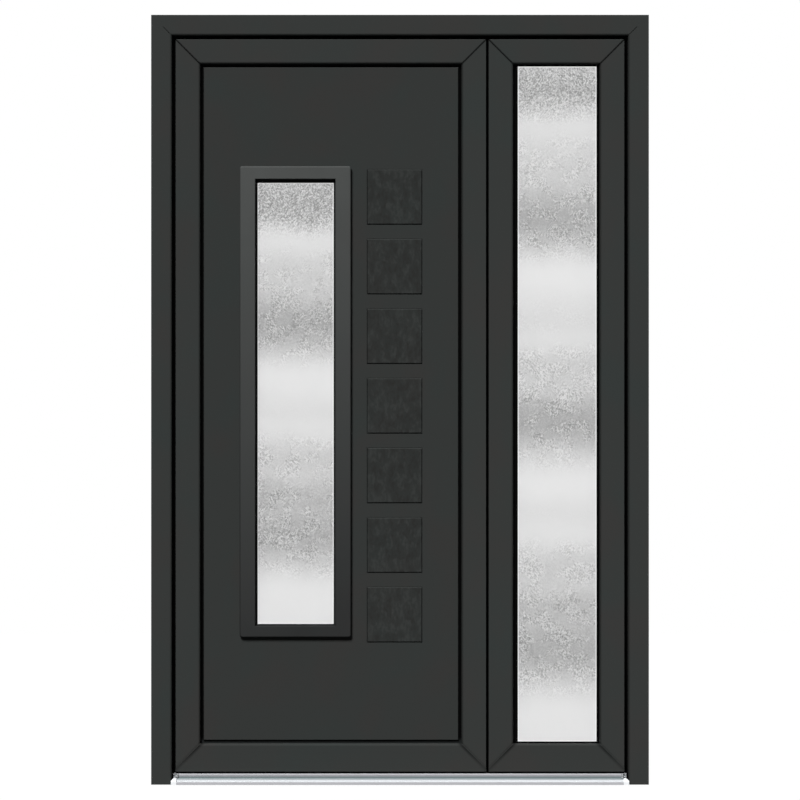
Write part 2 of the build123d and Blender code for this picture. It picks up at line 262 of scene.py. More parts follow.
class Effects:
    """All shared effects, each built once."""

    COOL_OR_WARM = (0.38, 0.62)
    PATCH = (0.35, 0.65)
    PATCH_SCALE = 1.9
    GLOSS_SCALE = 7.0
    SPECK = (0.4, 0.7)
    SPECK_ROUGHNESS = 0.2
    SIDE_ON = (0.9, 0.99)

    def __init__(self) -> None:
        """Build the groups."""
        self.tone_drift = self._tone_drift()
        self.foil_grain = self._foil_grain()
        self.soft_band = self._soft_band()
        self.fine_grit = self._fine_grit()
        self.near_edge = self._near_edge()
        self.mitre_line = self._mitre_line()
        self.painted_edge_shade = self._painted_edge_shade()

    @staticmethod
    def _tone_drift() -> Effect:
        """Build the slow change of a tone between a cool and a warm one.

        Returns:
            The finished group.
        """
        kinds = {"Vector": Effect.VECTOR, "Stretch": Effect.VECTOR, "Tone": Effect.COLOUR}
        kinds.update({"Cool": Effect.COLOUR, "Warm": Effect.COLOUR, "Amount": Effect.FLOAT})
        effect = Effect("tone_drift", kinds, {"Color": Effect.COLOUR})
        sheet, given = effect.sheet, effect.given
        place = sheet.stretch(given["Vector"], given["Stretch"])
        side = sheet.ramp(sheet.noise(place, 1.0), *Effects.COOL_OR_WARM)
        patch = sheet.ramp(sheet.noise(place, Effects.PATCH_SCALE), *Effects.PATCH)
        tint = sheet.mix(side, given["Cool"], given["Warm"])
        amount = sheet.math("MULTIPLY", patch, given["Amount"], clamp=True)
        return effect.close({"Color": sheet.mix(amount, given["Tone"], tint)})

    @staticmethod
    def _foil_grain() -> Effect:
        """Build the fine lines and the uneven gloss of a foil.

        Returns:
            The finished group.
        """
        kinds = {"Vector": Effect.VECTOR, "Stretch": Effect.VECTOR}
        kinds.update({"Gloss": Effect.FLOAT, "Unevenness": Effect.FLOAT})
        effect = Effect("foil_grain", kinds, {"Height": Effect.FLOAT, "Roughness": Effect.FLOAT})
        sheet, given = effect.sheet, effect.given
        lines = sheet.noise(sheet.stretch(given["Vector"], given["Stretch"]), 1.0, detail=3.0)
        broad = sheet.noise(given["Vector"], Effects.GLOSS_SCALE)
        offset = sheet.math("MULTIPLY", sheet.math("SUBTRACT", broad, 0.5), given["Unevenness"])
        rough = sheet.math("ADD", given["Gloss"], offset, clamp=True)
        return effect.close({"Height": lines, "Roughness": rough})

    @staticmethod
    def _soft_band() -> Effect:
        """Build one soft level band at a height.

        Returns:
            The finished group.
        """
        labels = ("Height", "Centre", "Half Width", "Strength")
        effect = Effect("soft_band", {label: Effect.FLOAT for label in labels}, {"Mask": Effect.FLOAT})
        sheet, given = effect.sheet, effect.given
        away = sheet.math("ABSOLUTE", sheet.math("SUBTRACT", given["Height"], given["Centre"]))
        mask = sheet.ramp(away, 0.0, given["Half Width"], 1.0, 0.0)
        return effect.close({"Mask": sheet.math("MULTIPLY", mask, given["Strength"])})

    @staticmethod
    def _fine_grit() -> Effect:
        """Build the fine speckle of rubber, cast plastic and metal.

        Returns:
            The finished group.
        """
        kinds = {"Vector": Effect.VECTOR, "Stretch": Effect.VECTOR, "Tone": Effect.COLOUR}
        kinds.update({"Speck": Effect.COLOUR, "Amount": Effect.FLOAT, "Gloss": Effect.FLOAT})
        results = {"Color": Effect.COLOUR, "Roughness": Effect.FLOAT, "Height": Effect.FLOAT}
        effect = Effect("fine_grit", kinds, results)
        sheet, given = effect.sheet, effect.given
        grit = sheet.noise(sheet.stretch(given["Vector"], given["Stretch"]), 1.0, detail=4.0)
        share = sheet.math("MULTIPLY", sheet.ramp(grit, *Effects.SPECK), given["Amount"], clamp=True)
        dull = sheet.math("MULTIPLY", share, Effects.SPECK_ROUGHNESS)
        rough = sheet.math("ADD", given["Gloss"], dull, clamp=True)
        colour = sheet.mix(share, given["Tone"], given["Speck"])
        return effect.close({"Color": colour, "Roughness": rough, "Height": grit})

    @staticmethod
    def _near_edge() -> Effect:
        """Build a mask of what lies within a width of either end of a range.

        Returns:
            The finished group.
        """
        labels = ("Place", "Low", "High", "Width")
        effect = Effect("near_edge", {label: Effect.FLOAT for label in labels}, {"Mask": Effect.FLOAT})
        sheet, given = effect.sheet, effect.given
        to_low = sheet.math("SUBTRACT", given["Place"], given["Low"])
        to_high = sheet.math("SUBTRACT", given["High"], given["Place"])
        nearest = sheet.math("MINIMUM", to_low, to_high)
        return effect.close({"Mask": sheet.ramp(nearest, 0.0, given["Width"], 1.0, 0.0)})

    @staticmethod
    def _mitre_line() -> Effect:
        """Build the soft lines that run out slanting from a rectangle's corners.

        Returns:
            The finished group.
        """
        kinds = {"Vector": Effect.VECTOR, "Centre": Effect.VECTOR, "Half": Effect.VECTOR}
        kinds.update({"Shift": Effect.FLOAT, "Width": Effect.FLOAT})
        effect = Effect("mitre_line", kinds, {label: Effect.FLOAT for label in ("Mask", "Out", "Upper")})
        sheet, given = effect.sheet, effect.given
        offset = sheet.vector("SUBTRACT", given["Vector"], given["Centre"])
        beyond = sheet.vector("SUBTRACT", sheet.vector("ABSOLUTE", offset), given["Half"])
        parts = sheet.add("ShaderNodeSeparateXYZ", {0: beyond}).outputs
        height = sheet.add("ShaderNodeSeparateXYZ", {0: offset}).outputs["Z"]
        apart = sheet.math("SUBTRACT", sheet.math("SUBTRACT", parts["X"], parts["Z"]), given["Shift"])
        mask = sheet.ramp(sheet.math("ABSOLUTE", apart), 0.0, given["Width"], 1.0, 0.0)
        upper = sheet.math("GREATER_THAN", height, 0.0)
        return effect.close({"Mask": mask, "Out": parts["X"], "Upper": upper})

    @staticmethod
    def _painted_edge_shade() -> Effect:
        """Build a mask of painted shade on the rounded edges that face left, none on faces that look
        straight left.

        Returns:
            The finished group.
        """
        effect = Effect("painted_edge_shade", {"Strength": Effect.FLOAT}, {"Mask": Effect.FLOAT})
        sheet, given = effect.sheet, effect.given
        normal = sheet.add("ShaderNodeNewGeometry", {}).outputs["Normal"]
        lean = sheet.math("MULTIPLY", sheet.add("ShaderNodeSeparateXYZ", {0: normal}).outputs["X"], -1.0)
        flat = sheet.ramp(lean, *Effects.SIDE_ON, 1.0, 0.0)
        turned = sheet.math("MULTIPLY", sheet.math("MAXIMUM", lean, 0.0), flat)
        return effect.close({"Mask": sheet.math("MULTIPLY", turned, given["Strength"])})


@dataclass(frozen=True)
class Band:
    """A level band of painted light, shade or reflection, by its height and half width in metres."""

    height: float
    half_width: float
    strength: float = 1.0
    grain: float = 0.76
    even: bool = False


@dataclass(frozen=True)
class Surface:
    """What every finish starts from: a material with one main shader."""

    name: str

    def build(self, effects: Effects) -> bpy.types.Material:
        """Build the material.

        Args:
            effects: The shared effects.

        Returns:
            The finished material.
        """
        material = bpy.data.materials.new(self.name)
        material.use_nodes = True
        sheet = NodeSheet(material.node_tree)
        shader = sheet.add("ShaderNodeBsdfPrincipled", {})
        sheet.add("ShaderNodeOutputMaterial", {"Surface": shader.outputs[0]})
        place = sheet.add("ShaderNodeTexCoord", {}).outputs["Object"]
        sheet.connect(shader, self.paint(effects, sheet, place))
        return material

    def paint(self, effects: Effects, sheet: NodeSheet, place: Socket) -> dict[str, Value]:
        """Lay out the finish's nodes.

        Args:
            effects: The shared effects.
            sheet: The material's node sheet.
            place: The object's own coordinates.

        Returns:
            Values or sockets for the shader's inputs, by name.
        """
        raise NotImplementedError

    @staticmethod
    def along(sheet: NodeSheet, place: Socket, axis: str) -> Socket:
        """Read one coordinate of a place."""
        return sheet.add("ShaderNodeSeparateXYZ", {0: place}).outputs[axis]

    @staticmethod
    def bump(sheet: NodeSheet, height: Socket, distance: float, strength: float = 1.0) -> Socket:
        """Turn a height into a normal."""
        inputs = {"Height": height, "Distance": distance, "Strength": strength}
        return sheet.add("ShaderNodeBump", inputs).outputs[0]

    @staticmethod
    def band_mask(effects: Effects, sheet: NodeSheet, height: Socket, band: Band) -> Socket:
        """Mask a band by the height that is read.

        Args:
            effects: The shared effects.
            sheet: The node sheet to fill.
            height: The height that is read.
            band: The band.

        Returns:
            The band's mask.
        """
        inputs = {"Height": height, "Centre": band.height}
        inputs.update({"Half Width": band.half_width, "Strength": band.strength})
        return effects.soft_band.place(sheet, inputs)["Mask"]


@dataclass(frozen=True)
class FoilFinish(Surface):
    """Satin foil on PVC: soft tone drift, fine directional grain, uneven gloss, painted shade on left-facing
    rounded edges.
    """

    tone: Colour = shade(51, 53, 52)
    cool: Colour = shade(48, 54, 53)
    warm: Colour = shade(54, 52, 51)
    grain: Grain = Grain.UPRIGHT
    gloss: float = 0.5
    specular: float = 0.015
    drift: float = 0.45
    # Strength of the painted shade on rounded edges that face left.
    edge: float = 0.7

    DRIFT_STRETCH = (5.0, 5.0, 4.0)
    GRAIN_DEPTH = 0.05 * MM
    UNEVENNESS = 0.12

    def paint(self, effects: Effects, sheet: NodeSheet, place: Socket) -> dict[str, Value]:
        """Drift the tone, add the foil's own detail, paint shade on its rounded edges that face left and lay
        its grain.

        Args:
            effects: The shared effects.
            sheet: The node sheet to fill.
            place: The object's own coordinates.

        Returns:
            Values or sockets for the shader's inputs, by name.
        """
        inputs = {"Vector": place, "Stretch": self.DRIFT_STRETCH, "Tone": self.ground(sheet, place)}
        inputs.update({"Cool": self.cool, "Warm": self.warm, "Amount": self.drift})
        colour = self.detail(effects, sheet, place, effects.tone_drift.place(sheet, inputs)["Color"])
        # Painted shade: rounded edges that face left are darkened towards black.
        edge = effects.painted_edge_shade.place(sheet, {"Strength": self.edge})["Mask"]
        colour = sheet.mix(edge, colour, BLACK)
        inputs = {"Vector": place, "Stretch": self.grain.value}
        inputs.update({"Gloss": self.gloss, "Unevenness": self.UNEVENNESS})
        grain = effects.foil_grain.place(sheet, inputs)
        normal = self.bump(sheet, grain["Height"], self.GRAIN_DEPTH)
        values = {"Base Color": colour, "Roughness": grain["Roughness"], "Normal": normal}
        return {**values, "Specular IOR Level": self.specular}

    def ground(self, sheet: NodeSheet, place: Socket) -> Value:
        """Give the tone before it drifts."""
        return self.tone

    def detail(self, effects: Effects, sheet: NodeSheet, place: Socket, colour: Socket) -> Socket:
        """Add what only some foils show to the drifted colour."""
        return colour


@dataclass(frozen=True)
class SashFinish(FoilFinish):
    """Foil of a sash, darker along the welds that run out from the corners of its opening: partly the welds'
    own dark line, partly painted shade of their grooves.
    """

    sight: Rectangle = (0.0, 0.0, 0.0, 0.0)
    # Weld line tone: partly the joint's own dark line, partly painted shade of the groove.
    seam: Colour = shade(8, 9, 9)
    upper_width: float = 7.0 * MM
    upper_strength: float = 0.58
    lower_width: float = 13.0 * MM
    lower_shift: float = -3.2 * MM
    lower_fade: tuple[float, float] = (0.66, 0.34)
    reach: tuple[float, float] = (8.0 * MM, 62.0 * MM)

    def detail(self, effects: Effects, sheet: NodeSheet, place: Socket, colour: Socket) -> Socket:
        """Darken the weld lines, partly as their own dark joint and partly as painted groove shade: narrow
        at the top, broad and dying out at the bottom.

        Args:
            effects: The shared effects.
            sheet: The node sheet to fill.
            place: The object's own coordinates.
            colour: The drifted colour.

        Returns:
            The colour with the detail.
        """
        left, right, bottom, top = self.sight
        inputs = {"Vector": place, "Centre": ((left + right) / 2, 0.0, (bottom + top) / 2)}
        inputs["Half"] = ((right - left) / 2, 0.0, (top - bottom) / 2)
        upper, lower = (
            effects.mitre_line.place(sheet, {**inputs, "Shift": shift, "Width": width})
            for shift, width in ((0.0, self.upper_width), (self.lower_shift, self.lower_width))
        )
        high = sheet.math("MULTIPLY", upper["Mask"], self.upper_strength)
        low = sheet.math("MULTIPLY", lower["Mask"], sheet.ramp(lower["Out"], *self.reach, *self.lower_fade))
        return sheet.mix(sheet.blend(upper["Upper"], low, high), colour, self.seam)


@dataclass(frozen=True)
class MouldingFinish(FoilFinish):
    """Foil of the moulding with a painted sheen: lighter towards its top and a little darker towards the
    right.
    """

    # Painted sheen: the tone is lit at the top and shaded at the bottom.
    shaded_lower_tone: Colour = shade(47, 49, 48)
    sheen_fade: tuple[float, float] = (0.35, 1.72)
    sheen_span: tuple[float, float] = (-0.42, -0.16)
    lean: float = 0.1

    def ground(self, sheet: NodeSheet, place: Socket) -> Value:
        """Paint a sheen: fade from the shaded lower tone to the lit upper one, and a little back towards the
        right.

        Args:
            sheet: The node sheet to fill.
            place: The object's own coordinates.

        Returns:
            The tone before it drifts.
        """
        height = sheet.ramp(self.along(sheet, place, "Z"), *self.sheen_fade, way="LINEAR")
        side = sheet.ramp(self.along(sheet, place, "X"), *self.sheen_span, 0.0, self.lean)
        return sheet.mix(sheet.math("SUBTRACT", height, side), self.shaded_lower_tone, self.tone)


@dataclass(frozen=True)
class TileFinish(FoilFinish):
    """Foil of the tiles: mottled, with a painted highlight along each one's top edge."""

    fleck_and_highlight: Colour = shade(58, 60, 59)
    stain: Colour = shade(38, 37, 36)
    mottle: float = 0.5
    first_top: float = 0.0
    pitch: float = 1.0
    top_highlight_width: float = 4.0 * MM
    top_highlight_strength: float = 0.9

    MOTTLE_STRETCH = (62.0, 62.0, 34.0)

    def detail(self, effects: Effects, sheet: NodeSheet, place: Socket, colour: Socket) -> Socket:
        """Add the mottling and the painted highlights along the tiles' tops.

        Args:
            effects: The shared effects.
            sheet: The node sheet to fill.
            place: The object's own coordinates.
            colour: The drifted colour.

        Returns:
            The colour with the detail.
        """
        inputs = {"Vector": place, "Stretch": self.MOTTLE_STRETCH, "Tone": colour}
        inputs.update({"Cool": self.fleck_and_highlight, "Warm": self.stain, "Amount": self.mottle})
        colour = effects.tone_drift.place(sheet, inputs)["Color"]
        # Painted highlight: a lighter line along each tile's top edge.
        below = sheet.math("SUBTRACT", self.first_top, self.along(sheet, place, "Z"))
        course = sheet.math("FLOORED_MODULO", sheet.math("ADD", below, MM), self.pitch)
        top_highlight = sheet.ramp(course, 0.0, self.top_highlight_width, self.top_highlight_strength, 0.0)
        return sheet.mix(top_highlight, colour, self.fleck_and_highlight)


@dataclass(frozen=True)
class GritFinish(Surface):
    """A fine speckle, with soft level bands of painted light or shade on some: rubber, plastic, aluminium or
    painted metal.
    """

    tone: Colour = shade(3, 3, 3)
    speck: Colour = shade(6, 6, 6)
    stretch: tuple[float, float, float] = (700.0, 700.0, 700.0)
    amount: float = 0.5
    gloss: float = 0.7
    metallic: float = 0.0
    specular: float = 0.02
    relief: float = 0.05 * MM
    bands: tuple[tuple[Band, Colour], ...] = ()

    def paint(self, effects: Effects, sheet: NodeSheet, place: Socket) -> dict[str, Value]:
        """Speckle the tone and lay each band's tone over it.

        Args:
            effects: The shared effects.
            sheet: The node sheet to fill.
            place: The object's own coordinates.

        Returns:
            Values or sockets for the shader's inputs, by name.
        """
        inputs = {"Vector": place, "Stretch": self.stretch, "Tone": self.tone, "Speck": self.speck}
        grit = effects.fine_grit.place(sheet, {**inputs, "Amount": self.amount, "Gloss": self.gloss})
        colour = grit["Color"]
        # Each band lays painted light or shade over the speckle, by height.
        for band, tone in self.bands:
            mask = self.band_mask(effects, sheet, self.along(sheet, place, "Z"), band)
            colour = sheet.mix(mask, colour, tone)
        normal = self.bump(sheet, grit["Height"], self.relief)
        values = {"Base Color": colour, "Roughness": grit["Roughness"], "Normal": normal}
        return {**values, "Metallic": self.metallic, "Specular IOR Level": self.specular}


@dataclass(frozen=True)
class PaneFinish(Surface):
    """Obscure glass: crossing ripples, soft level bands of painted reflection, and a painted highlight along
    its rim.
    """

    outline: Rectangle
    bands: tuple[Band, ...]
    # The clear glass tone, and the tone of the painted reflection bands.
    bright: Colour = shade(229, 229, 229)
    reflection_tone: Colour = shade(169, 169, 169)
    fleck_dark: Colour = shade(96, 96, 96)
    fleck_bright: Colour = shade(248, 248, 248)
    # Painted highlight along the rim of the pane.
    edge_highlight: Colour = shade(254, 254, 254)
    edge_highlight_width: float = 4.5 * MM
    transmission: float = 0.9
    gloss: float = 0.35
    specular: float = 0.3

    RIPPLE_SIZE = (2.9 * MM, 2.9 * MM, 4.8 * MM)
    RIPPLE_TURN = 0.7
    FIELD_STRETCH = (22.0, 22.0, 16.0)
    PATCH_STRETCH = (14.0, 14.0, 10.0)
    CLUSTER_STRETCH = (24.0, 24.0, 30.0)
    WANDER = 0.05
    RELIEF = 0.3 * MM
    SOFTNESS = 0.3
    FULL_GRAIN = 0.3
    CLUSTER = (0.38, 0.6, 0.22, 1.0)
    DEPTH = (0.1, 0.8, 0.3, 1.0)
    DARK_FLECK = (0.48, 0.37)
    LIGHT_FLECK = (0.52, 0.62)
    FIELD = (0.45, 0.55)

    def paint(self, effects: Effects, sheet: NodeSheet, place: Socket) -> dict[str, Value]:
        """Paint the bands of reflection, speckle them with ripples and paint the highlight along the rim.

        Args:
            effects: The shared effects.
            sheet: The node sheet to fill.
            place: The object's own coordinates.

        Returns:
            Values or sockets for the shader's inputs, by name.
        """
        patch = sheet.noise(sheet.stretch(place, self.PATCH_STRETCH), 1.0)
        wander = sheet.math("MULTIPLY", sheet.math("SUBTRACT", patch, 0.5), self.WANDER)
        level = sheet.math("ADD", self.along(sheet, place, "Z"), wander)
        cluster = sheet.noise(sheet.stretch(place, self.CLUSTER_STRETCH), 1.0)
        cluster = sheet.ramp(cluster, *self.CLUSTER)
        shaded: Value = 0.0
        grainy: Value = 0.0
        for band in self.bands:
            mask = self.band_mask(effects, sheet, level, band)
            shaded = sheet.math("ADD", shaded, mask, clamp=True)
            wide = sheet.math("MULTIPLY", sheet.ramp(mask, 0.0, self.FULL_GRAIN), band.grain)
            clustered = wide if band.even else sheet.math("MULTIPLY", wide, cluster)
            grainy = sheet.math("MAXIMUM", grainy, clustered)
        ripple = self.ripple(sheet, place)
        deep = sheet.math("MULTIPLY", grainy, sheet.ramp(shaded, *self.DEPTH))
        darker = sheet.math("MULTIPLY", sheet.ramp(ripple, *self.DARK_FLECK), deep)
        lighter = sheet.math("MULTIPLY", sheet.ramp(ripple, *self.LIGHT_FLECK), grainy)
        colour = sheet.mix(shaded, self.bright, self.reflection_tone)
        colour = sheet.mix(darker, colour, self.fleck_dark)
        colour = sheet.mix(lighter, colour, self.fleck_bright)
        colour = sheet.mix(self.edge(effects, sheet, place), colour, self.edge_highlight)
        normal = self.bump(sheet, ripple, self.RELIEF, self.SOFTNESS)
        values = {"Base Color": colour, "Roughness": self.gloss, "Normal": normal}
        return {**values, "Transmission Weight": self.transmission, "Specular IOR Level": self.specular}

    def ripple(self, sheet: NodeSheet, place: Socket) -> Socket:
        """Cross two slanting ripples, each strong in its own fields.

        Args:
            sheet: The node sheet to fill.
            place: The object's own coordinates.

        Returns:
            The ripple's height.
        """
        first, second = (
            sheet.noise(sheet.turn(place, angle, self.RIPPLE_SIZE), 1.0, detail=1.0)
            for angle in (self.RIPPLE_TURN, -self.RIPPLE_TURN)
        )
        fields = sheet.ramp(sheet.noise(sheet.stretch(place, self.FIELD_STRETCH), 1.0), *self.FIELD)
        return sheet.blend(fields, first, second)

    def edge(self, effects: Effects, sheet: NodeSheet, place: Socket) -> Socket:
        """Mask the painted highlight along the outline that shows.

        Args:
            effects: The shared effects.
            sheet: The node sheet to fill.
            place: The object's own coordinates.

        Returns:
            The highlight's mask.
        """
        left, right, bottom, top = self.outline
        masks = []
        for axis, low, high in (("X", left, right), ("Z", bottom, top)):
            inputs = {"Place": self.along(sheet, place, axis), "Low": low, "High": high}
            inputs["Width"] = self.edge_highlight_width
            masks.append(effects.near_edge.place(sheet, inputs)["Mask"])
        return sheet.math("MAXIMUM", *masks)


class Finishes:
    """Every material that several sub-assemblies use, built once."""

    # Painted light on the panel gasket's lower run, which faces up.
    PAINTED_LIGHT_AT_FOOT = ((Band(116.0 * MM, 16.0 * MM), shade(30, 32, 32)),)
    # Painted shade in the threshold's hollow and a painted highlight along its crest, by height.
    PAINTED_SHADE_AND_HIGHLIGHT = (
        (Band(18.6 * MM, 9.5 * MM), shade(70, 84, 86)),
        (Band(10.4 * MM, 3.6 * MM, 0.9), shade(219, 223, 226)),
    )

    def __init__(self) -> None:
        """Build the shared effects and the materials."""
        self.effects = Effects()
        finishes = {
            "upright": FoilFinish("foil_upright"),
            "across": FoilFinish("foil_across", grain=Grain.ACROSS),
            "rubber": GritFinish("black_rubber"),
            "panel_rubber": GritFinish("panel_rubber", bands=self.PAINTED_LIGHT_AT_FOOT),
            "pane_rubber": GritFinish("pane_rubber", tone=shade(34, 35, 35), speck=shade(40, 41, 41)),
            "aluminium": GritFinish(
                "satin_aluminium",
                tone=shade(171, 171, 175),
                speck=shade(162, 162, 166),
                stretch=(12.0, 900.0, 900.0),
                amount=0.6,
                gloss=0.42,
                metallic=0.15,
                specular=0.5,
                relief=0.03 * MM,
                bands=self.PAINTED_SHADE_AND_HIGHLIGHT,
            ),
            "cap": GritFinish(
                "cap_plastic",
                tone=shade(232, 234, 236),
                speck=shade(220, 222, 224),
                gloss=0.45,
                specular=0.3,
            ),
            "plug": GritFinish(
                "plug_plastic",
                tone=shade(64, 67, 69),
                speck=shade(205, 208, 210),
                stretch=(330.0, 330.0, 330.0),
                amount=1.0,
                specular=0.2,
            ),
            "hinge": GritFinish(
                "hinge_paint",
                tone=shade(50, 52, 52),
                speck=shade(58, 60, 60),
                gloss=0.42,
                metallic=0.3,
                specular=0.3,
            ),
            "steel": GritFinish(
                "screw_steel",
                tone=shade(150, 152, 154),
                speck=shade(120, 122, 124),
                gloss=0.3,
                metallic=1.0,
                specular=0.5,
            ),
        }
        self.materials = {key: finish.build(self.effects) for key, finish in finishes.items()}

    def __getitem__(self, key: str) -> bpy.types.Material:
        """Give a material by its key."""
        return self.materials[key]


class Shapes:
    """Mesh builders that the sub-assemblies share."""

    @staticmethod
    def finish(name: str, mesh: bmesh.types.BMesh, material: bpy.types.Material) -> bpy.types.Object:
        """Turn a finished mesh into an object.

        Args:
            name: The piece's name.
            mesh: The mesh, in the row frame.
            material: Its material.

        Returns:
            The object, at the origin.
        """
        bmesh.ops.recalc_face_normals(mesh, faces=mesh.faces)
        data = bpy.data.meshes.new(name)
        mesh.to_mesh(data)
        mesh.free()
        data.materials.append(material)
        piece = bpy.data.objects.new(name, data)
        bpy.context.scene.collection.objects.link(piece)
        return piece

    @staticmethod
    def add_run(mesh: bmesh.types.BMesh, section: Sequence[Vector], travel: Vector) -> None:
        """Add a closed bar to a mesh.

        Args:
            mesh: The mesh to add to.
            section: Corners of the bar's end, in order.
            travel: From that end to the other.
        """
        near = [mesh.verts.new(corner) for corner in section]
        far = [mesh.verts.new(corner + travel) for corner in section]
        mesh.faces.new(near)
        mesh.faces.new(far[::-1])
        for index in range(len(near)):
            follow = (index + 1) % len(near)
            mesh.faces.new((near[index], far[index], far[follow], near[follow]))

    @staticmethod
    def add_frame(
        mesh: bmesh.types.BMesh, outer: Rectangle, inner: Rectangle, steps: Sequence[tuple[float, float]]
    ) -> None:
        """Add a rectangular frame whose section follows steps from its outer to its inner outline and back.

        Args:
            mesh: The mesh to add to.
            outer: Left, right, bottom and top of its outer outline.
            inner: The same of its inner outline.
            steps: Corners of the section, as (share of the way inwards, y).
        """
        loops = []
        for share, depth in steps:
            left, right, bottom, top = (out + (into - out) * share for out, into in zip(outer, inner))
            corners = ((left, bottom), (right, bottom), (right, top), (left, top))
            loops.append([mesh.verts.new((x, depth, z)) for x, z in corners])
        for index, near in enumerate(loops):
            far = loops[(index + 1) % len(loops)]
            for corner in range(4):
                follow = (corner + 1) % 4
                mesh.faces.new((near[corner], near[follow], far[follow], far[corner]))


def put(piece: bpy.types.Object, body: Body) -> bpy.types.Object:
    """Let a new piece ride on its body.

    Args:
        piece: The new piece.
        body: The body that carries it.

    Returns:
        The piece.
    """
    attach(piece, body.value)
    log.info("piece %s rides on %s", piece.name, body.value)
    return piece


def dress(material: bpy.types.Material, *names: str) -> None:
    """Give CAD nodes their material.

    Args:
        material: The finish.
        names: The nodes' names.
    """
    for name in names:
        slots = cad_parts[name].data.materials
        slots.clear()
        slots.append(material)
        log.info("node %s is dressed in %s", name, material.name)


class NodeRun:
    """A Geometry Nodes tree with named inputs, whose result is made a plain mesh."""

    NAME = "run"
    SIZES: dict[str, str] = {}

    def __init__(self) -> None:
        """Build the tree, from its named inputs to Realize Instances and Set Material."""
        self.tree = bpy.data.node_groups.new(self.NAME, "GeometryNodeTree")
        face = self.tree.interface
        face.new_socket("Geometry", in_out="OUTPUT", socket_type="NodeSocketGeometry")
        face.new_socket("Geometry", in_out="INPUT", socket_type="NodeSocketGeometry")
        kinds = {**self.SIZES, "Finish": "NodeSocketMaterial"}
        self.inputs = {
            label: face.new_socket(label, in_out="INPUT", socket_type=kind).identifier
            for label, kind in kinds.items()
        }
        sheet = NodeSheet(self.tree)
        given = sheet.add("NodeGroupInput", {}).outputs
        real = sheet.add("GeometryNodeRealizeInstances", {"Geometry": self.fill(sheet, given)})
        inputs = {"Geometry": real.outputs[0], "Material": given["Finish"]}
        dressed = sheet.add("GeometryNodeSetMaterial", inputs)
        sheet.add("NodeGroupOutput", {"Geometry": dressed.outputs[0]})

    def fill(self, sheet: NodeSheet, given: bpy.types.NodeOutputs) -> Socket:
        """Lay out the nodes between the inputs and the end, and give their geometry."""
        return given["Geometry"]

    def lay(
        self, name: str, points: Sequence[Vector], lines: Sequence[tuple[int, int]], sizes: dict[str, Value]
    ) -> bpy.types.Object:
        """Run the tree on points and lines.

        Args:
            name: The piece's name.
            points: The points.
            lines: Pairs of point numbers that lines join.
            sizes: Values of the tree's inputs, by name.

        Returns:
            The result as one plain mesh, at the origin.
        """
        data = bpy.data.meshes.new(name)
        data.from_pydata([tuple(point) for point in points], lines, [])
        piece = bpy.data.objects.new(name, data)
        bpy.context.scene.collection.objects.link(piece)
        modifier = piece.modifiers.new(self.NAME, "NODES")
        modifier.node_group = self.tree
        for label, value in sizes.items():
            modifier[self.inputs[label]] = value
        graph = bpy.context.evaluated_depsgraph_get()
        plain = bpy.data.meshes.new_from_object(piece.evaluated_get(graph))
        piece.modifiers.remove(modifier)
        piece.data = plain
        plain.name = name
        return piece


class ScrewRun(NodeRun):
    """Sets a screw on each point: a rounded head with a socket, turned at random."""

    NAME = "screw_run"
    HEAD_SIDES = 20
    SOCKET_SIDES = 6
    WELL_SHARE = 0.35
    LIFT_SHARE = 0.7
    SIZES = {
        "Head Radius": "NodeSocketFloat",
        "Head Height": "NodeSocketFloat",
        "Socket Radius": "NodeSocketFloat",
        "Seed": "NodeSocketInt",
    }

    def fill(self, sheet: NodeSheet, given: bpy.types.NodeOutputs) -> Socket:
        """Build one head and its socket, and set them on every point.

        Args:
            sheet: The node sheet to fill.
            given: Outputs of the tree's input node, by name.

        Returns:
            The geometry.
        """
        head = {"Vertices": self.HEAD_SIDES, "Depth": given["Head Height"]}
        head.update({"Radius Top": given["Socket Radius"], "Radius Bottom": given["Head Radius"]})
        cone = sheet.add("GeometryNodeMeshCone", head, fill_type="NONE")
        well_depth = sheet.math("MULTIPLY", given["Head Height"], self.WELL_SHARE)
        well = {"Vertices": self.SOCKET_SIDES, "Radius": given["Socket Radius"], "Depth": well_depth}
        socket = sheet.add("GeometryNodeMeshCylinder", well, fill_type="NGON")
        lift = sheet.math("MULTIPLY", given["Head Height"], self.LIFT_SHARE)
        place = {"Geometry": socket.outputs["Mesh"], "Translation": self.vector(sheet, {"Z": lift})}
        raised = sheet.add("GeometryNodeTransform", place)
        joined = sheet.add("GeometryNodeJoinGeometry", {})
        for source in (cone.outputs["Mesh"], raised.outputs[0]):
            sheet.tree.links.new(source, joined.inputs[0])
        spin = sheet.add("FunctionNodeRandomValue", {3: math.tau, "Seed": given["Seed"]}, data_type="FLOAT")
        turn = self.vector(sheet, {"X": -math.pi / 2, "Y": spin.outputs[1]})
        points = {"Points": given["Geometry"], "Instance": joined.outputs[0], "Rotation": turn}
        return sheet.add("GeometryNodeInstanceOnPoints", points).outputs[0]

    @staticmethod
    def vector(sheet: NodeSheet, parts: dict[str, Value]) -> Socket:
        """Combine numbers into a vector."""
        return sheet.add("ShaderNodeCombineXYZ", parts).outputs[0]


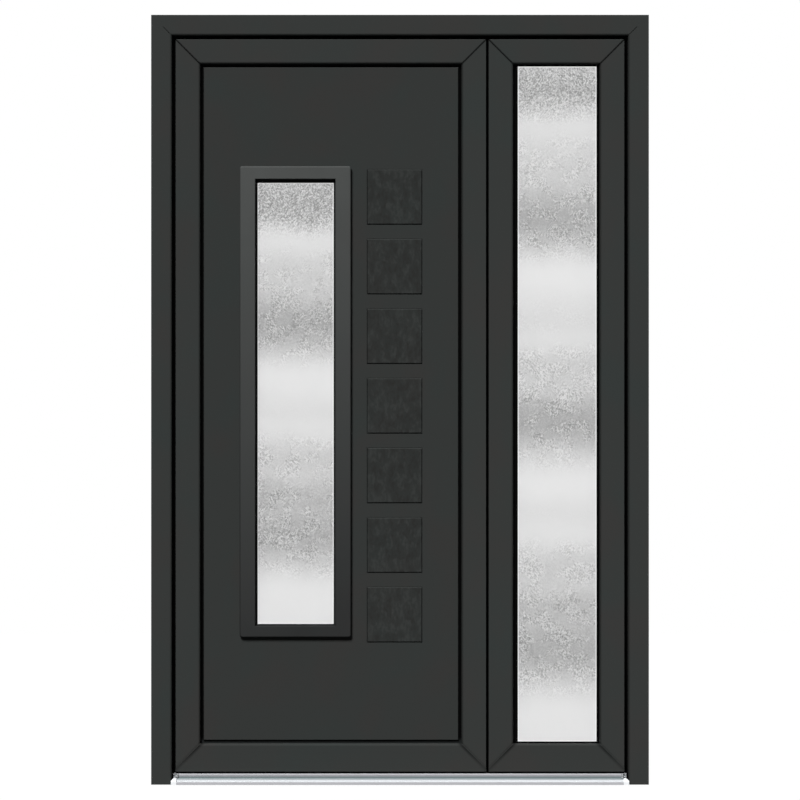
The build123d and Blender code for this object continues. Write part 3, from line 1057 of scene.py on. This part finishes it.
class SeamRun(NodeRun):
    """Runs a slim bead of sealant along lines, narrowing to their far ends."""

    NAME = "seam_run"
    SIZES = {"Radius": "NodeSocketFloat", "Tail": "NodeSocketFloat", "Sides": "NodeSocketInt"}

    def fill(self, sheet: NodeSheet, given: bpy.types.NodeOutputs) -> Socket:
        """Sweep a round section along every line.

        Args:
            sheet: The node sheet to fill.
            given: Outputs of the tree's input node, by name.

        Returns:
            The geometry.
        """
        path = sheet.add("GeometryNodeMeshToCurve", {"Mesh": given["Geometry"]}).outputs[0]
        along = sheet.add("GeometryNodeSplineParameter", {}).outputs["Factor"]
        narrowed = sheet.blend(along, 1.0, given["Tail"])
        section = {"Resolution": given["Sides"], "Radius": given["Radius"]}
        circle = sheet.add("GeometryNodeCurvePrimitiveCircle", section).outputs["Curve"]
        sweep = {"Curve": path, "Profile Curve": circle, "Scale": narrowed, "Fill Caps": True}
        return sheet.add("GeometryNodeCurveToMesh", sweep).outputs[0]


@dataclass(frozen=True)
class Workshop:
    """What every sub-assembly is made with."""

    finishes: Finishes
    screws: ScrewRun
    seams: SeamRun
    block_edge: float = 0.4 * MM
    bead_sides: int = 10

    def block(
        self, name: str, low: Sequence[float], high: Sequence[float], finish: str, body: Body, slot: Slot
    ) -> None:
        """Make a small block with bevelled edges.

        Args:
            name: The piece's name.
            low: Its lowest corner.
            high: Its highest corner.
            finish: Key of its finish.
            body: The body that carries it.
            slot: Not used.
        """
        mesh = bmesh.new()
        corners = ((low[0], low[1]), (high[0], low[1]), (high[0], high[1]), (low[0], high[1]))
        section = [Vector((x, y, low[2])) for x, y in corners]
        Shapes.add_run(mesh, section, Vector((0, 0, high[2] - low[2])))
        bmesh.ops.bevel(mesh, geom=mesh.edges[:], offset=self.block_edge, segments=1, affect="EDGES")
        put(Shapes.finish(name, mesh, self.finishes[finish]), body)

    def seam(
        self, name: str, paths: Sequence[Sequence[Vector]], sizes: dict[str, Value], body: Body, slot: Slot
    ) -> None:
        """Run beads of sealant along paths.

        Args:
            name: The piece's name.
            paths: Points of each path, from its thick end.
            sizes: Radius, tail and finish of the bead.
            body: The body that carries it.
            slot: Not used.
        """
        points: list[Vector] = []
        lines: list[tuple[int, int]] = []
        for path in paths:
            first = len(points)
            points.extend(path)
            lines.extend((index, index + 1) for index in range(first, first + len(path) - 1))
        put(self.seams.lay(name, points, lines, {**sizes, "Sides": self.bead_sides}), body)


@dataclass
class OuterFrame:
    """Jambs, head, and the threshold with its caps, end plugs and end seals."""

    shop: Workshop
    sight_x: float = 637.0 * MM
    sight_top: float = 2092.0 * MM
    rail_end: float = 632.5 * MM
    plug_length: float = 14.5 * MM
    plug_bottom: float = 19.0 * MM
    plug_top: float = 30.3 * MM
    plug_front: float = -35.4 * MM
    plug_back: float = -32.0 * MM
    seal_front: float = -33.0 * MM
    seal_back: float = -18.2 * MM
    seal_top: float = 34.5 * MM
    gap: float = 0.2 * MM
    seam_start: float = 7.0 * MM
    seam_end: float = 25.0 * MM
    seam_depth: float = 0.7 * MM
    seam_radius: float = 0.8 * MM
    seam_tail: float = 0.2

    def build(self) -> None:
        """Dress the frame's nodes and add the small pieces at the threshold's ends."""
        finishes = self.shop.finishes
        dress(finishes["upright"], "frame_left_jamb", "frame_right_jamb")
        dress(finishes["across"], "frame_head")
        dress(finishes["aluminium"], "threshold")
        dress(finishes["cap"], "threshold_left_cap", "threshold_right_cap")
        for side in Side:
            self.rail_plug(side)
            self.end_seal(side)
        self.seams()

    def rail_plug(self, side: Side) -> None:
        """Close the rail's end with a speckled plug.

        Args:
            side: The end, by its side of the door.
        """
        ends = (self.rail_end - self.plug_length, self.rail_end - self.gap)
        near, far = sorted(side.value * x for x in ends)
        low, high = (near, self.plug_front, self.plug_bottom), (far, self.plug_back, self.plug_top)
        self.shop.block(f"threshold_{side.name.lower()}_plug", low, high, "plug", Body.FRAME, Slot.CAP)

    def end_seal(self, side: Side) -> None:
        """Fill the gap between the rail's end and the jamb with a black seal.

        Args:
            side: The end, by its side of the door.
        """
        near, far = sorted(side.value * x for x in (self.rail_end + self.gap, self.sight_x - self.gap))
        low, high = (near, self.seal_front, self.gap), (far, self.seal_back, self.seal_top)
        self.shop.block(f"threshold_{side.name.lower()}_seal", low, high, "rubber", Body.FRAME, Slot.RUBBER)

    def seams(self) -> None:
        """Mark the start of the welds at the head's corners."""
        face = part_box("frame_head")[0].y + self.seam_depth
        paths = [
            [
                Vector((side.value * (self.sight_x + out), face, self.sight_top + out))
                for out in (self.seam_start, self.seam_end)
            ]
            for side in Side
        ]
        sizes = {"Radius": self.seam_radius, "Tail": self.seam_tail, "Finish": self.shop.finishes["rubber"]}
        self.shop.seam("frame_seams", paths, sizes, Body.FRAME, Slot.RUBBER)


@dataclass
class Leaf:
    """What both leaves have: sash, beads, weld seams and rubber lips."""

    shop: Workshop
    prefix: str
    body: Body
    hinge_side: Side
    meeting_front: float
    meeting_back: float
    meeting_bevel: float
    meeting_lip_root: float
    meeting_lip_tip: float
    meeting_lip_front: float
    meeting_lip_thickness: float = 2.0 * MM
    face_edge: float = 626.0 * MM
    body_edge: float = 642.0 * MM
    front_lip: tuple[float, float] = (-26.0 * MM, -21.0 * MM)
    back_lip: tuple[float, float] = (-8.0 * MM, -3.0 * MM)
    lip_drop: float = 4.4 * MM
    lip_tip: float = 0.8 * MM
    meeting_lip_bottom: float = 31.0 * MM
    meeting_lip_top: float = 2097.5 * MM
    sash_face: float = 69.0 * MM
    edge_radius: float = 7.0 * MM
    rebate: float = 20.0 * MM
    upper_depth: float = 1.3 * MM
    upper_radius: float = 1.2 * MM
    lower_depth: float = 1.2 * MM
    lower_radius: float = 1.65 * MM
    fillet_steps: tuple[float, ...] = (0.6 * MM, 2.0 * MM, 4.0 * MM, 7.0 * MM)

    def dress_sash(self) -> None:
        """Dress the sash, its beads and its seal."""
        uprights = ("hinge_stile", "meeting_stile", "left_bead", "right_bead")
        crossbars = ("top_rail", "bottom_rail", "top_bead", "bottom_bead")
        for grain, names in ((Grain.UPRIGHT, uprights), (Grain.ACROSS, crossbars)):
            finish = SashFinish(f"{self.prefix}_foil_{grain.name.lower()}", grain=grain, sight=self.sight())
            dress(finish.build(self.shop.finishes.effects), *(f"{self.prefix}_{name}" for name in names))
        dress(self.shop.finishes["rubber"], f"{self.prefix}_seal")

    def sight(self) -> Rectangle:
        """Give the left, right, bottom and top of the opening between the sash's members.

        Returns:
            Left, right, bottom and top.
        """
        stiles = [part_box(f"{self.prefix}_{name}_stile") for name in ("hinge", "meeting")]
        stiles.sort(key=lambda box: box[0].x)
        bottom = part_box(f"{self.prefix}_bottom_rail")[1].z
        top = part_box(f"{self.prefix}_top_rail")[0].z
        return (stiles[0][1].x, stiles[1][0].x, bottom, top)

    def seams(self) -> None:
        """Fill the weld grooves: with black sealant at the top, with foil-coloured filler at the bottom."""
        left, right, bottom, top = self.sight()
        finishes = self.shop.finishes
        upper = {"Radius": self.upper_radius, "Tail": 1.0, "Finish": finishes["rubber"]}
        lower = {"Radius": self.lower_radius, "Tail": 1.0, "Finish": finishes["across"]}
        for name, z, up, depth, sizes, slot in (
            ("upper", top, 1, self.upper_depth, upper, Slot.RUBBER),
            ("lower", bottom, -1, self.lower_depth, lower, Slot.PROFILE),
        ):
            sides = ((left, -1), (right, 1))
            paths = [path for x, across in sides for path in self.welds(x, z, across, up, depth)]
            self.shop.seam(f"{self.prefix}_{name}_seams", paths, sizes, self.body, slot)

    def welds(self, x: float, z: float, across: int, up: int, depth: float) -> list[list[Vector]]:
        """List the points of one corner's welds, outside and inside.

        Args:
            x: The sight corner's X.
            z: The sight corner's Z.
            across: Sign of the way outwards along X.
            up: Sign of the way outwards along Z.
            depth: How deep the bead's middle lies.

        Returns:
            The outside path round the rounded edge, and the inside path.
        """
        low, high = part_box(f"{self.prefix}_top_rail")
        slant = 0.0 if across == self.hinge_side.value else self.meeting_bevel + MM
        outside = [
            Vector((x + across * out, low.y + self.fillet_depth(out) + depth, z + up * out))
            for out in (*self.fillet_steps, self.sash_face - MM)
        ]
        inside = [
            Vector((x + across * out, high.y - depth, z + up * out))
            for out in (self.rebate + MM, self.sash_face - slant - MM)
        ]
        return [outside, inside]

    def fillet_depth(self, out: float) -> float:
        """Tell how far the sash's rounded edge falls back at a distance out from the sight line."""
        inset = max(0.0, self.edge_radius - out)
        return self.edge_radius - math.sqrt(self.edge_radius**2 - inset**2)

    def bottom_lips(self) -> None:
        """Hang a rubber lip under the bottom rail's face and another under its overlap."""
        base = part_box(f"{self.prefix}_bottom_rail")[0].z
        side = self.hinge_side.value
        mesh = bmesh.new()
        for hinge_end, meeting_end, (front, back) in (
            (side * self.face_edge, self.meeting_front, self.front_lip),
            (side * self.body_edge, self.meeting_back, self.back_lip),
        ):
            start, end = sorted((hinge_end, meeting_end))
            tip, foot = (front + back) / 2, base - self.lip_drop
            corners = ((front, base), (tip - self.lip_tip, foot), (tip + self.lip_tip, foot), (back, base))
            section = [Vector((start, y, z)) for y, z in corners]
            Shapes.add_run(mesh, section, Vector((end - start, 0, 0)))
        self.rubber_piece("bottom_lips", mesh)

    def meeting_lip(self) -> None:
        """Run a rubber lip up the meeting edge, from inside the stile to a slimmer free edge."""
        root, tip, front = self.meeting_lip_root, self.meeting_lip_tip, self.meeting_lip_front
        back, slim = front + self.meeting_lip_thickness, self.meeting_lip_thickness / 4
        corners = [(root, front), (tip, front + slim), (tip, back - slim), (root, back)]
        section = [Vector((x, y, self.meeting_lip_bottom)) for x, y in corners]
        mesh = bmesh.new()
        Shapes.add_run(mesh, section, Vector((0, 0, self.meeting_lip_top - self.meeting_lip_bottom)))
        self.rubber_piece("meeting_lip", mesh)

    def rubber_piece(self, name: str, mesh: bmesh.types.BMesh) -> bpy.types.Object:
        """Make a mesh a black rubber piece of this leaf."""
        piece = Shapes.finish(f"{self.prefix}_{name}", mesh, self.shop.finishes["rubber"])
        return put(piece, self.body)

    def trim(self) -> None:
        """Add the weld seams and the rubber lips."""
        self.seams()
        self.bottom_lips()
        self.meeting_lip()


@dataclass
class MainLeaf(Leaf):
    """The panelled leaf with its moulded pane and its column of tiles."""

    prefix: str = "main"
    body: Body = Body.MAIN_LEAF
    hinge_side: Side = Side.LEFT
    meeting_front: float = 239.5 * MM
    meeting_back: float = 237.0 * MM
    meeting_bevel: float = 9.0 * MM
    meeting_lip_root: float = 236.9 * MM
    meeting_lip_tip: float = 244.7 * MM
    meeting_lip_front: float = -12.0 * MM
    tile_count: int = 7
    pane_side: float = 48.5 * MM
    pane_top: float = 45.0 * MM
    pane_bottom: float = 36.5 * MM
    # Widths of the black rubber that stands in for the moulding's shadow on the pane.
    pane_shadow_lip_left: float = 1.35 * MM
    pane_shadow_lip_top: float = 1.1 * MM
    pane_lip_root: float = 4.0 * MM
    pane_lip_height: float = 3.4 * MM

    PANEL = FoilFinish("foil_panel", tone=shade(49, 51, 50), cool=shade(47, 52, 51), warm=shade(52, 50, 49))
    # The moulding's painted sheen runs from the lit upper tone down to the shaded lower one.
    MOULDING = MouldingFinish(
        "foil_moulding",
        tone=shade(74, 76, 75),
        shaded_lower_tone=shade(41, 42, 42),
        gloss=0.4,
        specular=0.04,
        drift=0.1,
    )
    # Heights of the painted reflection bands on the door pane.
    BANDS = (
        Band(1.624, 0.122, 0.95, grain=0.8, even=True),
        Band(1.510, 0.060, 0.05, grain=2.6),
        Band(1.440, 0.091, 0.45),
        Band(1.290, 0.156, 1.00),
        Band(1.043, 0.080, 0.16, grain=0.15),
        Band(0.905, 0.112, 0.51),
        Band(0.814, 0.072, 0.48),
        Band(0.701, 0.166, 0.96),
    )

    def build(self) -> None:
        """Dress the leaf and add its lips and seams."""
        finishes = self.shop.finishes
        self.dress_sash()
        dress(self.PANEL.build(finishes.effects), "main_panel")
        dress(finishes["panel_rubber"], "main_panel_gasket")
        dress(finishes["pane_rubber"], "main_glass_gasket")
        pane = PaneFinish("obscure_glass_door", outline=self.pane_outline(), bands=self.BANDS)
        dress(pane.build(finishes.effects), "main_glass")
        mouldings = ("glazing_moulding_outside", "glazing_moulding_inside")
        dress(self.MOULDING.build(finishes.effects), *mouldings)
        self.tiles()
        self.pane_shadow_lips()
        self.trim()

    def tiles(self) -> None:
        """Dress the tiles, which stand one pitch apart."""
        names = [f"square_tile_{index + 1}" for index in range(self.tile_count)]
        tops = sorted((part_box(name)[1].z for name in names), reverse=True)
        finish = TileFinish(
            "foil_tile", tone=shade(43, 45, 44), first_top=tops[0], pitch=tops[0] - tops[1], drift=0.2
        )
        dress(finish.build(self.shop.finishes.effects), *names)

    def pane_shadow_lips(self) -> None:
        """Lay black rubber on the pane along the gasket's left and top, as painted shadow of the moulding.
        """
        left, right, bottom, top = self.pane_outline()
        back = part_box("main_glass_gasket")[1].y
        front = back - self.pane_lip_height
        mesh = bmesh.new()
        for start, travel, inwards in (
            (Vector((left, 0, bottom)), Vector((0, 0, top - bottom)), Vector((self.pane_shadow_lip_left, 0, 0))),
            (Vector((left, 0, top)), Vector((right - left, 0, 0)), Vector((0, 0, -self.pane_shadow_lip_top))),
        ):
            foot, tip = start - inwards.normalized() * self.pane_lip_root, start + inwards
            corners = ((foot, front), (tip, front), (tip, back), (foot, back))
            section = [point + Vector((0, y, 0)) for point, y in corners]
            Shapes.add_run(mesh, section, travel)
        self.rubber_piece("pane_shadow_lips", mesh)

    def pane_outline(self) -> Rectangle:
        """Give the left, right, bottom and top of the pane that shows.

        Returns:
            Left, right, bottom and top.
        """
        low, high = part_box("glazing_moulding_outside")
        sides = (low.x + self.pane_side, high.x - self.pane_side)
        return (*sides, low.z + self.pane_bottom, high.z - self.pane_top)


@dataclass
class SecondLeaf(Leaf):
    """The narrow leaf, glazed over its full height."""

    prefix: str = "second"
    body: Body = Body.SECOND_LEAF
    hinge_side: Side = Side.RIGHT
    meeting_front: float = 248.2 * MM
    meeting_back: float = 249.0 * MM
    meeting_bevel: float = 3.0 * MM
    meeting_lip_root: float = 249.5 * MM
    meeting_lip_tip: float = 244.4 * MM
    meeting_lip_front: float = -16.0 * MM
    gasket_left: float = 13.1 * MM
    gasket_right: float = 8.4 * MM
    gasket_bottom: float = 4.8 * MM
    gasket_top: float = 5.9 * MM
    gasket_lip: float = 0.9

    # Heights of the painted reflection bands on the side pane.
    BANDS = (
        Band(1.950, 0.125, 0.97, grain=0.8, even=True),
        Band(1.825, 0.085, 0.06, grain=2.6),
        Band(1.707, 0.182, 0.49),
        Band(1.567, 0.138, 0.90),
        Band(1.305, 0.108, 0.22, grain=0.4),
        Band(1.262, 0.060, 0.05, grain=2.0),
        Band(1.174, 0.086, 0.47),
        Band(1.015, 0.169, 1.00),
        Band(0.752, 0.085, 0.16, grain=0.2),
        Band(0.596, 0.127, 0.51),
        Band(0.500, 0.078, 0.43),
        Band(0.379, 0.182, 0.95),
    )

    def build(self) -> None:
        """Dress the leaf and add its gasket, lips and seams."""
        self.dress_sash()
        pane = PaneFinish("obscure_glass_side", outline=self.pane_outline(), bands=self.BANDS)
        dress(pane.build(self.shop.finishes.effects), "second_glass")
        self.gasket()
        self.trim()

    def pane_outline(self) -> Rectangle:
        """Give the left, right, bottom and top of the pane that shows.

        Returns:
            Left, right, bottom and top.
        """
        left, right, bottom, top = self.sight()
        sides = (left + self.gasket_left, right - self.gasket_right)
        return (*sides, bottom + self.gasket_bottom, top - self.gasket_top)

    def gasket(self) -> None:
        """Lay the black gasket on the pane's edge, with a lip that slopes down to the glass."""
        low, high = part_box("second_glass_gasket")
        mesh = bmesh.new()
        steps = ((0.0, high.y), (0.0, low.y), (self.gasket_lip, low.y), (1.0, high.y))
        Shapes.add_frame(mesh, (low.x, high.x, low.z, high.z), self.pane_outline(), steps)
        piece = self.rubber_piece("pane_gasket", mesh)
        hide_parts("second_glass_gasket")


@dataclass
class Hinges:
    """The painted hinges on the inside and their screws."""

    shop: Workshop
    heights: tuple[float, ...] = (0.260, 1.110, 1.880)
    half_height: float = 52.0 * MM
    axis_x: float = 646.0 * MM
    screw_reach: float = 33.0 * MM
    screw_inset: float = 13.0 * MM
    plate_face: float = 41.0 * MM
    screw_sizes: dict[str, Value] = field(
        default_factory=lambda: {
            "Head Radius": 4.2 * MM,
            "Head Height": 1.4 * MM,
            "Socket Radius": 1.9 * MM,
        }
    )

    def screws_of(self, axis: Side, plates: Side, upper: bool) -> list[Vector]:
        """List the screw places of one side's three hinge halves.

        Args:
            axis: Side of the door that the hinges are on.
            plates: Side of their axis that the plates lie on.
            upper: Whether these are the upper halves.

        Returns:
            A place on the plate's face for each screw.
        """
        x = axis.value * self.axis_x + plates.value * self.screw_reach
        start = 0.0 if upper else -self.half_height
        offsets = (start + self.screw_inset, start + self.half_height - self.screw_inset)
        levels = [height + offset for height in self.heights for offset in offsets]
        return [Vector((x, self.plate_face, level)) for level in levels]

    def build(self) -> None:
        """Dress the hinge halves and set their screws, one piece for each body."""
        finishes = self.shop.finishes
        halves = [f"{leaf}_hinge_{half}_halves" for leaf in ("main", "second") for half in ("frame", "leaf")]
        dress(finishes["hinge"], *halves)
        fixed = [place for side in Side for place in self.screws_of(side, side, False)]
        sets = (
            ("frame_hinge_screws", Body.FRAME, fixed, 3),
            ("main_hinge_screws", Body.MAIN_LEAF, self.screws_of(Side.LEFT, Side.RIGHT, True), 5),
            ("second_hinge_screws", Body.SECOND_LEAF, self.screws_of(Side.RIGHT, Side.LEFT, True), 8),
        )
        for name, body, places, seed in sets:
            sizes = {**self.screw_sizes, "Seed": seed, "Finish": finishes["steel"]}
            put(self.shop.screws.lay(name, places, [], sizes), body)


@dataclass(frozen=True)
class Lamp:
    """A distant soft light, by the direction that it comes from."""

    name: str
    come_from: tuple[float, float, float]
    strength: float
    angle: float

    def build(self, scene: bpy.types.Scene) -> None:
        """Put the light in the scene.

        Args:
            scene: The scene.
        """
        light = bpy.data.lights.new(self.name, "SUN")
        light.energy = self.strength
        light.angle = math.radians(self.angle)
        lamp = bpy.data.objects.new(self.name, light)
        lamp.location = self.come_from
        lamp.rotation_euler = (-Vector(self.come_from)).to_track_quat("-Z", "Y").to_euler()
        scene.collection.objects.link(lamp)


@dataclass
class Studio:
    """Camera, lights, white surroundings and a pale floor."""

    front: float = -36.0 * MM
    distance: float = 14.0
    eye_height: float = 1.0743
    view_width: float = 2.234
    sensor: float = 36.0
    surround: float = 0.06
    floor_reach: float = 9.0
    floor_glow: float = 0.97
    floor_tone: Colour = shade(72, 72, 72)
    glow_strength: float = 1.035
    far_clip: float = 100.0

    LAMPS = (
        Lamp("key", (-2.0, -4.5, 4.7), 4.9, 19.0),
        Lamp("back", (2.6, 4.5, 2.6), 4.6, 12.0),
    )

    def build(self) -> None:
        """Set up everything round the door."""
        scene = bpy.context.scene
        scene.view_settings.view_transform = "Standard"
        self._camera(scene)
        for lamp in self.LAMPS:
            lamp.build(scene)
        self._world(scene)
        self._floor(scene)

    def _camera(self, scene: bpy.types.Scene) -> None:
        """Place the long-lens camera straight in front.

        Args:
            scene: The scene.
        """
        lens = bpy.data.cameras.new("camera")
        lens.sensor_width = self.sensor
        lens.lens = self.sensor * self.distance / self.view_width
        lens.clip_end = self.far_clip
        camera = bpy.data.objects.new("camera", lens)
        camera.location = (0.0, self.front - self.distance, self.eye_height)
        camera.rotation_euler = (math.pi / 2, 0.0, 0.0)
        scene.collection.objects.link(camera)
        scene.camera = camera

    def _world(self, scene: bpy.types.Scene) -> None:
        """Make the surroundings white to look at and softer as a light.

        Args:
            scene: The scene.
        """
        world = bpy.data.worlds.new("surroundings")
        world.use_nodes = True
        scene.world = world
        sheet = NodeSheet(world.node_tree)
        seen = self.seen(sheet)
        soft = sheet.add("ShaderNodeBackground", {"Color": WHITE, "Strength": self.surround})
        white = sheet.add("ShaderNodeBackground", {"Color": WHITE, "Strength": 1.0})
        mixed = sheet.add("ShaderNodeMixShader", {0: seen, 1: soft.outputs[0], 2: white.outputs[0]})
        sheet.add("ShaderNodeOutputWorld", {"Surface": mixed.outputs[0]})

    @staticmethod
    def seen(sheet: NodeSheet) -> Socket:
        """Tell whether a ray looks straight at a surface, or at it in gloss or glass.

        Args:
            sheet: The node sheet to fill.

        Returns:
            1 if it does, else 0.
        """
        path = sheet.add("ShaderNodeLightPath", {}).outputs
        gloss = sheet.math("MAXIMUM", path["Is Glossy Ray"], path["Is Transmission Ray"])
        return sheet.math("MAXIMUM", path["Is Camera Ray"], gloss)

    def _floor(self, scene: bpy.types.Scene) -> None:
        """Lay a floor that looks pale and keeps a light shadow.

        Args:
            scene: The scene.
        """
        material = bpy.data.materials.new("pale_floor")
        material.use_nodes = True
        sheet = NodeSheet(material.node_tree)
        matte = sheet.add("ShaderNodeBsdfDiffuse", {"Color": self.floor_tone})
        glow = sheet.add("ShaderNodeEmission", {"Color": WHITE, "Strength": self.glow_strength})
        share = sheet.math("MULTIPLY", self.seen(sheet), self.floor_glow)
        mixed = sheet.add("ShaderNodeMixShader", {0: share, 1: matte.outputs[0], 2: glow.outputs[0]})
        sheet.add("ShaderNodeOutputMaterial", {"Surface": mixed.outputs[0]})
        data = bpy.data.meshes.new("floor")
        reach = self.floor_reach
        corners = [(-reach, -reach, 0), (reach, -reach, 0), (reach, reach, 0), (-reach, reach, 0)]
        data.from_pydata(corners, [], [(0, 1, 2, 3)])
        data.materials.append(material)
        floor = bpy.data.objects.new("floor", data)
        scene.collection.objects.link(floor)


def main() -> None:
    """Build the door's looks."""
    logging.basicConfig(level=logging.INFO, format="%(name)s: %(message)s")
    shop = Workshop(Finishes(), ScrewRun(), SeamRun())
    OuterFrame(shop).build()
    MainLeaf(shop).build()
    SecondLeaf(shop).build()
    Hinges(shop).build()
    Studio().build()


if __name__ == "__main__":
    main()
